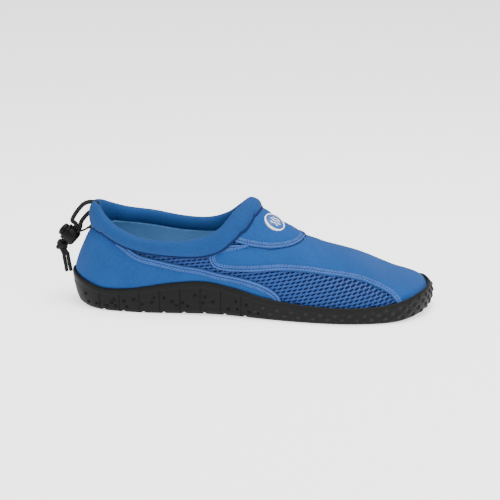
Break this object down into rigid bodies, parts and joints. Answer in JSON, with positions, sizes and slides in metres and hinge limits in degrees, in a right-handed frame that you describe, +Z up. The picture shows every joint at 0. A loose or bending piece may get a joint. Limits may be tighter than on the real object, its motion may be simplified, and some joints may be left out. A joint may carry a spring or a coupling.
{
  "type": "water shoe",
  "caption": "Pull-on water shoe for the right foot, blue neoprene and mesh on a black ribbed rubber cup sole, with a drawcord and cord lock at the heel.",
  "frame": {"origin": "on the floor under the middle of the sole's length and width, cords not counted", "axes": "+X from the heel to the toe, +Y to the inner side of the foot, +Z up"},
  "size_m": [0.2942, 0.1002, 0.0845],
  "materials": {
    "sole_rubber": "matt moulded rubber",
    "neoprene_blue": "smooth knit facing on neoprene foam",
    "mesh_fabric": "open knitted mesh",
    "lining_fabric": "dark blue knit lining",
    "badge_plastic": "soft moulded plastic, white and blue",
    "black_plastic": "satin moulded nylon",
    "black_cord": "braided elastic cord",
    "black_webbing": "woven tape"
  },
  "bodies": {
    "root": {"outsole": "sole_rubber", "insole": "lining_fabric", "upper": "mesh_fabric", "heel_panel": "neoprene_blue", "vamp_panel": "neoprene_blue", "instep_panel": "neoprene_blue", "collar": "neoprene_blue", "badge": "badge_plastic", "heel_tab": "black_webbing", "lock_keeper": "black_cord", "lock_barrel": "black_plastic", "lock_button": "black_plastic", "cord_knot": "black_cord", "drawcord_strand_upper": "black_cord", "drawcord_strand_lower": "black_cord", "drawcord_tail_upper": "black_cord", "drawcord_tail_lower": "black_cord"}
  },
  "joints": []
}
